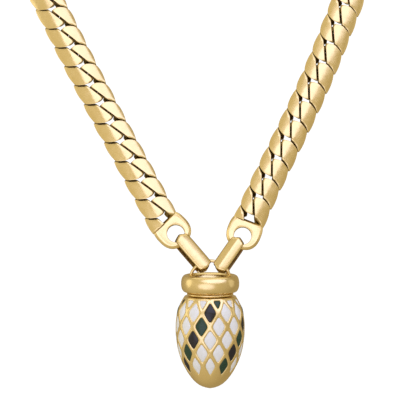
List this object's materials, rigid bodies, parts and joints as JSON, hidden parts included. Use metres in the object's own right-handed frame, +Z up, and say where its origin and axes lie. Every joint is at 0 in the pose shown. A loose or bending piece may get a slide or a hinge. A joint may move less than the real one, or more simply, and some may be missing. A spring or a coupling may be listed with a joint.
{
  "type": "curb chain necklace",
  "caption": "Flat gold curb chain necklace in its worn loop, with D-shaped end caps, strip connectors and a swinging enamelled drop pendant under an oval cap ring.",
  "frame": {"origin": "the nape: the middle of the clasp's inner face, where it lies against the back of the neck", "axes": "+Z up along the wearer's neck, -Y to the wearer's front and the pendant, +X to the right as seen from the front"},
  "size_m": [0.1107, 0.1137, 0.1477],
  "materials": {
    "gold": "polished yellow gold",
    "enamel_white": "glossy cool white vitreous enamel",
    "enamel_green": "glossy dark green vitreous enamel",
    "enamel_black": "glossy black vitreous enamel"
  },
  "bodies": {
    "necklace": {"chain_left": "gold", "chain_right": "gold", "end_cap_left": "gold", "end_cap_right": "gold", "connector_left": "gold", "connector_right": "gold", "clasp": "gold"},
    "pendant": {"jump_ring": "gold", "cap_ring": "gold", "collar": "gold", "drop_body": "gold", "enamel_white": "enamel_white", "enamel_green": "enamel_green", "enamel_black": "enamel_black"}
  },
  "joints": [
    {"name": "pendant_swing", "type": "hinge", "parent": "necklace", "child": "pendant", "pos_m": [0.0031, -0.104, -0.112], "axis": [1, 0, 0], "range_deg": [-35, 5]}
  ]
}
